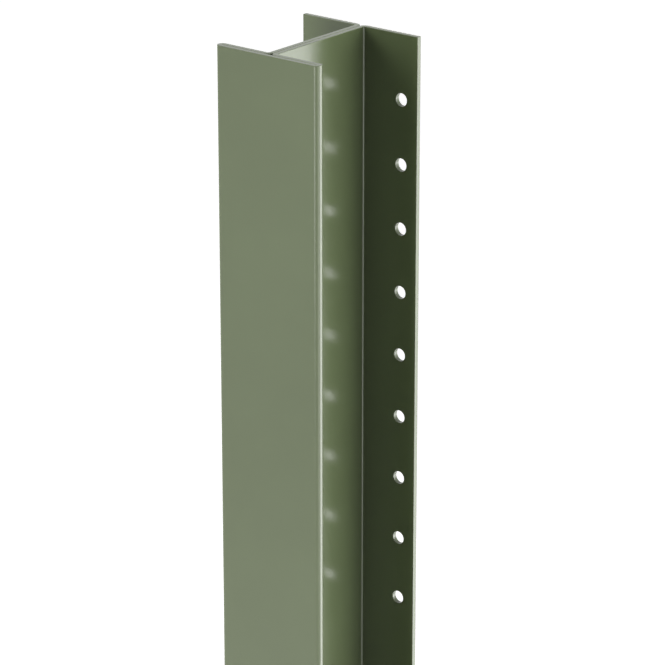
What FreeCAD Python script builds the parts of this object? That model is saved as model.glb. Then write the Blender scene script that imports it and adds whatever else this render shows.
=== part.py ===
import FreeCAD, Part
import math
import os

# Steel fence post, roll-formed from one strip of sheet and painted.
# Frame: +Z up along the post, origin at the bottom end on the centre of the section.
# The front flange faces -Y, the rear flange with the fixing holes faces +Y.
# All sizes are in millimetres.

# Post and sheet
post_length = 1800.0
sheet = 2.0
fold_gap = 0.1
bend_inner_radius = 0.7

# Section
panel_slot = 50.0
front_flange_width = 48.0
rear_flange_width = 54.0

# Fixing holes, the same row in both halves of the rear flange
hole_diameter = 5.0
hole_count = 9
hole_pitch = 25.0
first_hole_below_top = 25.0
hole_from_edge = 7.4

# Sizes that follow from them
folded_wall = 2 * sheet + fold_gap
section_depth = folded_wall + panel_slot + sheet
rear_face_y = section_depth / 2
bend_radius = bend_inner_radius + sheet / 2
hem_radius = (sheet + fold_gap) / 2
hem_reach = hem_radius + sheet / 2
web_layer_x = hem_radius
hole_x = rear_flange_width / 2 - hole_from_edge


def vector(x, y, z=0.0):
    return FreeCAD.Vector(x, y, z)


class Strip:
    """The edge view of a sheet that is folded as it goes: straight legs joined by tangent bends.

    x, y and heading follow the middle of the sheet. Each step adds one edge to the sheet's left
    side and one to its right side.
    """

    def __init__(self, x, y, heading_deg):
        self.x = x
        self.y = y
        self.heading = math.radians(heading_deg)
        self.left = []
        self.right = []

    def side_point(self, offset):
        """The point beside the middle of the sheet, offset to the left of the heading."""
        return vector(
            self.x - offset * math.sin(self.heading),
            self.y + offset * math.cos(self.heading),
        )

    def sides(self):
        return self.side_point(sheet / 2), self.side_point(-sheet / 2)

    def leg(self, length):
        left_start, right_start = self.sides()
        self.x += length * math.cos(self.heading)
        self.y += length * math.sin(self.heading)
        left_end, right_end = self.sides()
        self.left.append(Part.makeLine(left_start, left_end))
        self.right.append(Part.makeLine(right_start, right_end))

    def turn(self, angle_deg, middle_radius):
        """A bend about a centre beside the sheet: to the left for a positive angle."""
        left_start, right_start = self.sides()
        centre = self.side_point(math.copysign(middle_radius, angle_deg))
        self.swing(centre, angle_deg / 2)
        left_middle, right_middle = self.sides()
        self.swing(centre, angle_deg / 2)
        left_end, right_end = self.sides()
        self.left.append(Part.Arc(left_start, left_middle, left_end).toShape())
        self.right.append(Part.Arc(right_start, right_middle, right_end).toShape())

    def swing(self, centre, angle_deg):
        angle = math.radians(angle_deg)
        dx = self.x - centre.x
        dy = self.y - centre.y
        self.x = centre.x + dx * math.cos(angle) - dy * math.sin(angle)
        self.y = centre.y + dx * math.sin(angle) + dy * math.cos(angle)
        self.heading += angle

    def face(self):
        """The strip's section: out along its left side and back along its right side."""
        first_cut_edge = Part.makeLine(self.right[0].firstVertex().Point, self.left[0].firstVertex().Point)
        last_cut_edge = Part.makeLine(self.left[-1].lastVertex().Point, self.right[-1].lastVertex().Point)
        return Part.Face(Part.Wire(self.left + [last_cut_edge] + self.right[::-1] + [first_cut_edge]))


def folded_section():
    """The strip from one cut edge to the other, as it leaves the rolls.

    Rear flange's left half, web's left layer, front flange's inner left layer, left hem,
    front flange's outer layer, and the same again in mirror order on the right.
    """
    rear_leg = rear_flange_width / 2 - web_layer_x - bend_radius
    web_leg = panel_slot + sheet - 2 * bend_radius
    inner_leg = front_flange_width / 2 - hem_reach - web_layer_x - bend_radius
    outer_leg = front_flange_width - 2 * hem_reach
    strip = Strip(-rear_flange_width / 2, rear_face_y - sheet / 2, 0)
    strip.leg(rear_leg)
    strip.turn(-90, bend_radius)
    strip.leg(web_leg)
    strip.turn(-90, bend_radius)
    strip.leg(inner_leg)
    strip.turn(180, hem_radius)
    strip.leg(outer_leg)
    strip.turn(180, hem_radius)
    strip.leg(inner_leg)
    strip.turn(-90, bend_radius)
    strip.leg(web_leg)
    strip.turn(-90, bend_radius)
    strip.leg(rear_leg)
    return strip.face()


def fixing_holes():
    """One straight punch per hole, through the rear flange from its back."""
    punch_radius = hole_diameter / 2
    punch_length = 3 * sheet
    punch_start_y = rear_face_y - 2 * sheet
    punches = []
    for row in range(hole_count):
        z = post_length - first_hole_below_top - row * hole_pitch
        for side in (-1, 1):
            start = vector(side * hole_x, punch_start_y, z)
            punches.append(Part.makeCylinder(punch_radius, punch_length, start, vector(0, 1, 0)))
    return punches


def make_fence_post():
    bar = folded_section().extrude(vector(0, 0, post_length))
    solids = bar.cut(fixing_holes()).Solids
    return solids[0] if len(solids) == 1 else Part.makeCompound(solids)


def export(name, shape):
    shape.exportStep("parts/" + name + ".step")
    box = shape.BoundBox
    print(name, "solids", len(shape.Solids), "valid", shape.isValid(), "volume", round(shape.Volume))
    print("  x %.2f to %.2f, y %.2f to %.2f, z %.2f to %.2f"
          % (box.XMin, box.XMax, box.YMin, box.YMax, box.ZMin, box.ZMax))


os.makedirs("parts", exist_ok=True)
export("fence_post", make_fence_post())
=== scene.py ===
import math

import bmesh
import bpy
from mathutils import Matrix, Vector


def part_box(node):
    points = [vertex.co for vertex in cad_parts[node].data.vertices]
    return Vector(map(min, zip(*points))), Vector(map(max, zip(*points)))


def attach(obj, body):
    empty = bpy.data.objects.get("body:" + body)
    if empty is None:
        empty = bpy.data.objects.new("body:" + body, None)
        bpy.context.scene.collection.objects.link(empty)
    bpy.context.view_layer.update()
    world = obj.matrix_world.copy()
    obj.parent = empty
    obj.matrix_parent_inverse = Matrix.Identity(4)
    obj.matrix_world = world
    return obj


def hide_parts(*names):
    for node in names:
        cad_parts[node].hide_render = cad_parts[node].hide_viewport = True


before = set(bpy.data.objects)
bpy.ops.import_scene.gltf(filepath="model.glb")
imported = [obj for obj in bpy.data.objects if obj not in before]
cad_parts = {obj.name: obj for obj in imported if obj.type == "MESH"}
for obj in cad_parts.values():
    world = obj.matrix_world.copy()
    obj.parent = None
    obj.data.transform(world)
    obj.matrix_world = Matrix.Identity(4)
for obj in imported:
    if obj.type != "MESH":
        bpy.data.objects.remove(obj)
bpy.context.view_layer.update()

# A fence post rolled from one strip of steel and powder coated dark olive green.
# Metres throughout, in the frame of the solid: +Z up the post, front flange towards -Y.

BOX_LOW, BOX_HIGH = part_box("fence_post")

# The strip and its folds
SHEET = 0.002
FOLD_GAP = 0.0001
BEND_INNER_RADIUS = 0.0007
FRONT_FLANGE_WIDTH = 0.048
POST_HEIGHT = BOX_HIGH.z
SECTION_DEPTH = BOX_HIGH.y - BOX_LOW.y
REAR_FLANGE_WIDTH = BOX_HIGH.x - BOX_LOW.x
FOLDED_WALL = 2 * SHEET + FOLD_GAP
BEND_RADIUS = BEND_INNER_RADIUS + SHEET / 2
HEM_RADIUS = (SHEET + FOLD_GAP) / 2
HEM_REACH = HEM_RADIUS + SHEET / 2
BEND_STEPS = 12
HEM_STEPS = 24

# Points that lie closer together than this are one point
SAME_PLACE = 1e-6

# The punched holes
HOLE_RADIUS = 0.0025
HOLE_COUNT = 9
HOLE_PITCH = 0.025
FIRST_HOLE_BELOW_TOP = 0.025
HOLE_FROM_EDGE = 0.0074
HOLE_SIDES = 48
PUNCH_LENGTH = 3 * SHEET

# The spacing of the rows of edges across the strip, below the holes
LOWER_ROW_PITCH = 0.15

# The softness that the coat gives to every cut corner, and the angles in degrees at which an
# edge counts as a cut corner and above which shading stays crisp
COAT_ROUNDING = 0.00018
COAT_ROUNDING_STEPS = 3
CUT_CORNER_ANGLE = 60
CRISP_ANGLE = 35

# The paint's colour, where the film is thin and where it is full
THIN_FILM_GREEN = (0.098, 0.126, 0.059)
FULL_FILM_GREEN = (0.088, 0.113, 0.052)

# The paint's gloss: the roughness of its smoothest and dullest spots, and its mirror strength
SMOOTHEST_SPOTS = 0.15
DULLEST_SPOTS = 0.23
COAT_SPECULAR_LEVEL = 0.78
COAT_IOR = 1.5

# How far the gloss's pattern is taken from the colour's, so that the two don't match
GLOSS_PATTERN_SHIFT = (3.1, 1.7, 5.3)

# The height of the paint's ripple
PEEL_HEIGHT = 0.000008

# Nearly all values of a noise texture lie between these two
NOISE_LOW = 0.3
NOISE_HIGH = 0.7

# The photograph's view, with angles in degrees and the lens and sensor in millimetres
CAMERA_PLACE = (0.75565, -0.92797, 2.11996)
CAMERA_DOWN = 19.892
CAMERA_TURN = 38.853
CAMERA_LENS = 184.02
SENSOR_WIDTH = 36

# The floor, and where it is seen, how far from the post it starts and ends turning white
FLOOR_SIZE = 120
FLOOR_COLOUR = (0.8, 0.8, 0.8, 1)
FLOOR_ROUGHNESS = 0.9
TURNS_WHITE_FROM = 0.6
TURNS_WHITE_TO = 3.0
GLOW_NEAR_POST = 0.35
GLOW_AWAY = 0.95
WHITE = (1, 1, 1, 1)


def only(obj):
    """Makes obj the one selected and active object."""
    bpy.ops.object.select_all(action="DESELECT")
    obj.select_set(True)
    bpy.context.view_layer.objects.active = obj


def apply_modifier(obj, kind, name, **settings):
    modifier = obj.modifiers.new(name, kind)
    for key, value in settings.items():
        setattr(modifier, key, value)
    only(obj)
    bpy.ops.object.modifier_apply(modifier=name)


def select_upright_edge(obj, x, y):
    """In edit mode, selects the strip's upright edge at x, y and nothing else."""
    bm = bmesh.from_edit_mesh(obj.data)
    for edge in bm.edges:
        ends = [v.co for v in edge.verts]
        at_place = all(math.hypot(p.x - x, p.y - y) < SAME_PLACE for p in ends)
        edge.select_set(at_place and abs(ends[0].z - ends[1].z) > SAME_PLACE)
    bm.select_flush_mode()
    bmesh.update_edit_mesh(obj.data)


class StripFolder:
    """Folds the strip on from its upright edge at x, y: straight legs and round bends."""

    def __init__(self, strip, x, y):
        self.strip = strip
        self.x = x
        self.y = y
        self.heading = 0.0

    def leg(self, length):
        step = (length * math.cos(self.heading), length * math.sin(self.heading), 0)
        select_upright_edge(self.strip, self.x, self.y)
        bpy.ops.mesh.extrude_region_move(TRANSFORM_OT_translate={"value": step})
        self.x += step[0]
        self.y += step[1]

    def turn(self, angle_deg, radius, steps):
        """Spins the edge about a centre beside it: to the left for a positive angle."""
        side = math.copysign(radius, angle_deg)
        centre_x = self.x - side * math.sin(self.heading)
        centre_y = self.y + side * math.cos(self.heading)
        angle = math.radians(angle_deg)
        select_upright_edge(self.strip, self.x, self.y)
        bpy.ops.mesh.spin(steps=steps, angle=angle, center=(centre_x, centre_y, 0), axis=(0, 0, -1))
        dx = self.x - centre_x
        dy = self.y - centre_y
        self.x = centre_x + dx * math.cos(angle) - dy * math.sin(angle)
        self.y = centre_y + dx * math.sin(angle) + dy * math.cos(angle)
        self.heading += angle


def fold_strip():
    """The sheet's middle surface, folded from the rear flange's left edge to its right edge."""
    rear_leg = REAR_FLANGE_WIDTH / 2 - HEM_RADIUS - BEND_RADIUS
    web_leg = SECTION_DEPTH - FOLDED_WALL - 2 * BEND_RADIUS
    inner_leg = FRONT_FLANGE_WIDTH / 2 - HEM_REACH - HEM_RADIUS - BEND_RADIUS
    outer_leg = FRONT_FLANGE_WIDTH - 2 * HEM_REACH
    rear_y = BOX_HIGH.y - SHEET / 2
    bpy.ops.object.select_all(action="DESELECT")
    bpy.ops.mesh.primitive_plane_add(
        size=1,
        location=(BOX_LOW.x + rear_leg / 2, rear_y, POST_HEIGHT / 2),
        rotation=(math.pi / 2, 0, 0),
    )
    strip = bpy.context.object
    strip.name = strip.data.name = "post_strip"
    strip.scale = (rear_leg, POST_HEIGHT, 1)
    bpy.ops.object.transform_apply(location=True, rotation=True, scale=True)
    bpy.ops.object.mode_set(mode="EDIT")
    bpy.ops.mesh.select_mode(type="EDGE")
    folder = StripFolder(strip, BOX_LOW.x + rear_leg, rear_y)
    folder.turn(-90, BEND_RADIUS, BEND_STEPS)
    folder.leg(web_leg)
    folder.turn(-90, BEND_RADIUS, BEND_STEPS)
    folder.leg(inner_leg)
    folder.turn(180, HEM_RADIUS, HEM_STEPS)
    folder.leg(outer_leg)
    folder.turn(180, HEM_RADIUS, HEM_STEPS)
    folder.leg(inner_leg)
    folder.turn(-90, BEND_RADIUS, BEND_STEPS)
    folder.leg(web_leg)
    folder.turn(-90, BEND_RADIUS, BEND_STEPS)
    folder.leg(rear_leg)
    bpy.ops.mesh.select_all(action="SELECT")
    bpy.ops.mesh.remove_doubles(threshold=SAME_PLACE)
    bpy.ops.mesh.normals_make_consistent(inside=False)
    bpy.ops.object.mode_set(mode="OBJECT")
    return strip


def score_rows(strip):
    """Rows of edges across the strip: above, between and below the holes, and wider ones from there."""
    rows = [FIRST_HOLE_BELOW_TOP + (i - 0.5) * HOLE_PITCH for i in range(HOLE_COUNT + 1)]
    while rows[-1] + LOWER_ROW_PITCH < POST_HEIGHT:
        rows.append(rows[-1] + LOWER_ROW_PITCH)
    only(strip)
    bpy.ops.object.mode_set(mode="EDIT")
    for below_top in rows:
        bpy.ops.mesh.select_all(action="SELECT")
        bpy.ops.mesh.bisect(plane_co=(0, 0, POST_HEIGHT - below_top), plane_no=(0, 0, 1))
    bpy.ops.object.mode_set(mode="OBJECT")


def hole_punches():
    """One round punch for each hole in both halves of the rear flange, joined into one cutter."""
    punches = []
    for side in (-1, 1):
        for row in range(HOLE_COUNT):
            x = side * (REAR_FLANGE_WIDTH / 2 - HOLE_FROM_EDGE)
            z = POST_HEIGHT - FIRST_HOLE_BELOW_TOP - row * HOLE_PITCH
            bpy.ops.mesh.primitive_cylinder_add(
                vertices=HOLE_SIDES, radius=HOLE_RADIUS, depth=PUNCH_LENGTH,
                location=(x, BOX_HIGH.y - SHEET / 2, z), rotation=(math.pi / 2, 0, 0),
            )
            punches.append(bpy.context.object)
    bpy.ops.object.select_all(action="DESELECT")
    for punch in punches:
        punch.select_set(True)
    bpy.context.view_layer.objects.active = punches[0]
    bpy.ops.object.join()
    return bpy.context.object


def make_post():
    """The folded, punched and painted strip, which stands in for the solid."""
    strip = fold_strip()
    score_rows(strip)
    apply_modifier(strip, "SOLIDIFY", "sheet", thickness=SHEET, offset=0, use_even_offset=True)
    punches = hole_punches()
    apply_modifier(strip, "BOOLEAN", "holes", object=punches, operation="DIFFERENCE", solver="EXACT")
    bpy.data.objects.remove(punches)
    apply_modifier(
        strip, "BEVEL", "coat_rounding", width=COAT_ROUNDING, segments=COAT_ROUNDING_STEPS,
        limit_method="ANGLE", angle_limit=math.radians(CUT_CORNER_ANGLE), use_clamp_overlap=False,
    )
    only(strip)
    bpy.ops.object.shade_smooth_by_angle(angle=math.radians(CRISP_ANGLE))
    apply_modifier(strip, "WEIGHTED_NORMAL", "flat_faces_stay_flat", keep_sharp=True, weight=100)
    strip.data.materials.clear()
    strip.data.materials.append(green_powder_coat())
    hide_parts("fence_post")
    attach(strip, "root")


def node(tree, kind, x, y, **settings):
    made = tree.nodes.new(kind)
    made.location = (x, y)
    for key, value in settings.items():
        setattr(made, key, value)
    return made


def noise_group(name, inputs):
    """An empty group whose one output, Value, varies over the surface."""
    group = bpy.data.node_groups.new(name, "ShaderNodeTree")
    group.interface.new_socket("Position", in_out="INPUT", socket_type="NodeSocketVector")
    for label, value in inputs.items():
        socket = group.interface.new_socket(label, in_out="INPUT", socket_type="NodeSocketFloat")
        socket.default_value = value
    group.interface.new_socket("Value", in_out="OUTPUT", socket_type="NodeSocketFloat")
    entry = node(group, "NodeGroupInput", -900, 0)
    leave = node(group, "NodeGroupOutput", 500, 0)
    return group, entry, leave


def noise(tree, entry, scale_label, detail, y):
    """A noise whose scale is the group's input of that label."""
    texture = node(tree, "ShaderNodeTexNoise", -650, y)
    texture.inputs["Detail"].default_value = detail
    tree.links.new(entry.outputs["Position"], texture.inputs["Vector"])
    tree.links.new(entry.outputs[scale_label], texture.inputs["Scale"])
    return texture.outputs["Fac"]


def blend(tree, entry, first, second, share_label):
    """The first value, with the share of the second that the group's input gives."""
    mix = node(tree, "ShaderNodeMix", -350, 0, data_type="FLOAT")
    tree.links.new(entry.outputs[share_label], mix.inputs["Factor"])
    tree.links.new(first, mix.inputs["A"])
    tree.links.new(second, mix.inputs["B"])
    return mix.outputs["Result"]


def film_mottle_group():
    """Slow patches with fine grain in them: how the sprayed film's thickness varies."""
    group, entry, leave = noise_group(
        "film_mottle", {"Patch Scale": 24, "Grain Scale": 2600, "Grain Share": 0.3, "Low": 0, "High": 1}
    )
    patches = noise(group, entry, "Patch Scale", detail=3, y=150)
    grain = noise(group, entry, "Grain Scale", detail=1, y=-150)
    film = blend(group, entry, patches, grain, "Grain Share")
    spread = node(group, "ShaderNodeMapRange", 100, 0)
    spread.inputs["From Min"].default_value = NOISE_LOW
    spread.inputs["From Max"].default_value = NOISE_HIGH
    group.links.new(film, spread.inputs["Value"])
    group.links.new(entry.outputs["Low"], spread.inputs["To Min"])
    group.links.new(entry.outputs["High"], spread.inputs["To Max"])
    group.links.new(spread.outputs["Result"], leave.inputs["Value"])
    return group


def orange_peel_group():
    """The fine ripple of melted powder, with the powder's own grain on it."""
    group, entry, leave = noise_group(
        "orange_peel", {"Ripple Scale": 620, "Grain Scale": 3400, "Grain Share": 0.15}
    )
    ripple = noise(group, entry, "Ripple Scale", detail=1, y=150)
    grain = noise(group, entry, "Grain Scale", detail=1, y=-150)
    peel = blend(group, entry, ripple, grain, "Grain Share")
    group.links.new(peel, leave.inputs["Value"])
    return group


def placed_group(tree, group, position, y, **values):
    """The group's output in a material, with values for its inputs: Low sets Low, and so on."""
    placed = node(tree, "ShaderNodeGroup", -700, y)
    placed.node_tree = group
    tree.links.new(position, placed.inputs["Position"])
    for label, value in values.items():
        placed.inputs[label.replace("_", " ")].default_value = value
    return placed.outputs["Value"]


def green_powder_coat():
    """Satin olive green powder coat: an even film with a faint ripple and mottle."""
    material = bpy.data.materials.new("green_powder_coat")
    material.use_nodes = True
    tree = material.node_tree
    shader = tree.nodes["Principled BSDF"]
    place = node(tree, "ShaderNodeTexCoord", -1300, 0)
    elsewhere = node(tree, "ShaderNodeMapping", -1050, -200)
    elsewhere.inputs["Location"].default_value = GLOSS_PATTERN_SHIFT
    tree.links.new(place.outputs["Object"], elsewhere.inputs["Vector"])

    mottle = film_mottle_group()
    thickness = placed_group(tree, mottle, place.outputs["Object"], y=200)
    tone = node(tree, "ShaderNodeValToRGB", -450, 200)
    tone.color_ramp.elements[0].color = (*THIN_FILM_GREEN, 1)
    tone.color_ramp.elements[1].color = (*FULL_FILM_GREEN, 1)
    tree.links.new(thickness, tone.inputs["Fac"])
    tree.links.new(tone.outputs["Color"], shader.inputs["Base Color"])

    gloss = placed_group(
        tree, mottle, elsewhere.outputs["Vector"], y=-100,
        Patch_Scale=40, Grain_Scale=1900, Grain_Share=0.5, Low=SMOOTHEST_SPOTS, High=DULLEST_SPOTS,
    )
    tree.links.new(gloss, shader.inputs["Roughness"])

    peel = placed_group(tree, orange_peel_group(), place.outputs["Object"], y=-400)
    bump = node(tree, "ShaderNodeBump", -300, -400)
    bump.inputs["Strength"].default_value = 1
    bump.inputs["Distance"].default_value = PEEL_HEIGHT
    tree.links.new(peel, bump.inputs["Height"])
    tree.links.new(bump.outputs["Normal"], shader.inputs["Normal"])

    shader.inputs["Specular IOR Level"].default_value = COAT_SPECULAR_LEVEL
    shader.inputs["IOR"].default_value = COAT_IOR
    return material


def white_in_view(tree, x, y):
    """1 for the rays that show the backdrop itself: to the camera, in gloss and through glass."""
    rays = node(tree, "ShaderNodeLightPath", x - 400, y)
    camera_or_glossy = node(tree, "ShaderNodeMath", x - 200, y, operation="MAXIMUM")
    seen = node(tree, "ShaderNodeMath", x, y, operation="MAXIMUM")
    tree.links.new(rays.outputs["Is Camera Ray"], camera_or_glossy.inputs[0])
    tree.links.new(rays.outputs["Is Glossy Ray"], camera_or_glossy.inputs[1])
    tree.links.new(camera_or_glossy.outputs[0], seen.inputs[0])
    tree.links.new(rays.outputs["Is Transmission Ray"], seen.inputs[1])
    return seen.outputs[0]


def pale_floor_paint():
    """Pale and dull, and lifted towards white away from the post wherever the floor is seen."""
    material = bpy.data.materials.new("pale_floor")
    material.use_nodes = True
    tree = material.node_tree
    shader = tree.nodes["Principled BSDF"]
    shader.inputs["Base Color"].default_value = FLOOR_COLOUR
    shader.inputs["Roughness"].default_value = FLOOR_ROUGHNESS
    place = node(tree, "ShaderNodeTexCoord", -900, -500)
    distance = node(tree, "ShaderNodeVectorMath", -700, -500, operation="LENGTH")
    whiteness = node(tree, "ShaderNodeMapRange", -500, -500, interpolation_type="SMOOTHSTEP")
    whiteness.inputs["From Min"].default_value = TURNS_WHITE_FROM
    whiteness.inputs["From Max"].default_value = TURNS_WHITE_TO
    whiteness.inputs["To Min"].default_value = GLOW_NEAR_POST
    whiteness.inputs["To Max"].default_value = GLOW_AWAY
    lift = node(tree, "ShaderNodeMath", -200, -300, operation="MULTIPLY")
    tree.links.new(place.outputs["Object"], distance.inputs[0])
    tree.links.new(distance.outputs["Value"], whiteness.inputs["Value"])
    tree.links.new(white_in_view(tree, -400, -200), lift.inputs[0])
    tree.links.new(whiteness.outputs["Result"], lift.inputs[1])
    shader.inputs["Emission Color"].default_value = WHITE
    tree.links.new(lift.outputs[0], shader.inputs["Emission Strength"])
    return material


def make_floor():
    """A pale floor that turns white away from the post, so that the post's shadow stays near it."""
    bpy.ops.object.select_all(action="DESELECT")
    bpy.ops.mesh.primitive_plane_add(size=FLOOR_SIZE, location=(0, 0, 0))
    floor = bpy.context.object
    floor.name = "floor"
    floor.data.materials.append(pale_floor_paint())


def make_world():
    """White wherever it is seen, and no light of its own: that comes from the lamps."""
    world = bpy.data.worlds.new("studio")
    bpy.context.scene.world = world
    world.use_nodes = True
    tree = world.node_tree
    background = tree.nodes["Background"]
    background.inputs["Color"].default_value = WHITE
    tree.links.new(white_in_view(tree, -300, 0), background.inputs["Strength"])


def make_camera():
    """The photograph's view: from the front right and above, on the post's top end."""
    camera = bpy.data.objects.new("camera", bpy.data.cameras.new("camera"))
    bpy.context.scene.collection.objects.link(camera)
    camera.location = CAMERA_PLACE
    camera.rotation_euler = (math.radians(90 - CAMERA_DOWN), 0, math.radians(CAMERA_TURN))
    camera.data.lens = CAMERA_LENS
    camera.data.sensor_width = SENSOR_WIDTH
    bpy.context.scene.camera = camera


def soft_light(name, azimuth, distance, height, size, power, tilt=90, mirrored=True, lights=True):
    """A lamp of the given width and height that faces the post's axis.

    The azimuth counts in degrees from +X towards +Y. A tilt of 90 faces the lamp level, and 0
    straight down. The gloss shows it where mirrored is set, and it lights the paint where lights is.
    """
    lamp = bpy.data.lights.new(name, "AREA")
    lamp.shape = "RECTANGLE"
    lamp.size, lamp.size_y = size
    lamp.energy = power
    holder = bpy.data.objects.new(name, lamp)
    bpy.context.scene.collection.objects.link(holder)
    angle = math.radians(azimuth)
    holder.location = (distance * math.cos(angle), distance * math.sin(angle), height)
    holder.rotation_euler = (math.radians(tilt), 0, math.radians(azimuth + 90))
    holder.visible_camera = False
    holder.visible_glossy = mirrored
    holder.visible_diffuse = lights


def make_lamps():
    """Soft boxes all round. The front right strip is there only for the line of light on the hem."""
    soft_light(
        "front_softbox", azimuth=-96.5, distance=3.0, height=1.3,
        size=(0.7, 2.0), power=58, mirrored=False,
    )
    soft_light(
        "front_left_high_softbox", azimuth=-122, distance=3.208, height=3.15,
        size=(1.3, 1.4), power=50, mirrored=False,
    )
    soft_light("front_strip", azimuth=-98, distance=2.9, height=1.3, size=(1.2, 1.1), power=10)
    soft_light(
        "front_right_strip", azimuth=-20, distance=3.0, height=0.75,
        size=(1.5, 0.9), power=7.6, lights=False,
    )
    soft_light(
        "overhead_softbox", azimuth=-90, distance=0, height=4.8,
        size=(1.1, 1.1), power=50, tilt=0, mirrored=False,
    )
    soft_light(
        "right_front_softbox", azimuth=-2, distance=3.0, height=1.8,
        size=(0.63, 3.4), power=23, mirrored=False,
    )
    soft_light("right_softbox", azimuth=26, distance=2.2, height=1.8, size=(1.7, 3.2), power=75)
    soft_light("right_rear_softbox", azimuth=50, distance=2.2, height=0.725, size=(1.18, 1.35), power=14)
    soft_light("left_rear_softbox", azimuth=155, distance=3.0, height=1.2, size=(1.6, 2.2), power=20)
    soft_light(
        "left_softbox", azimuth=172, distance=3.0, height=1.6,
        size=(0.8, 2.6), power=30, mirrored=False,
    )


make_post()
make_floor()
make_world()
make_camera()
make_lamps()

bpy.context.scene.view_settings.view_transform = "Standard"
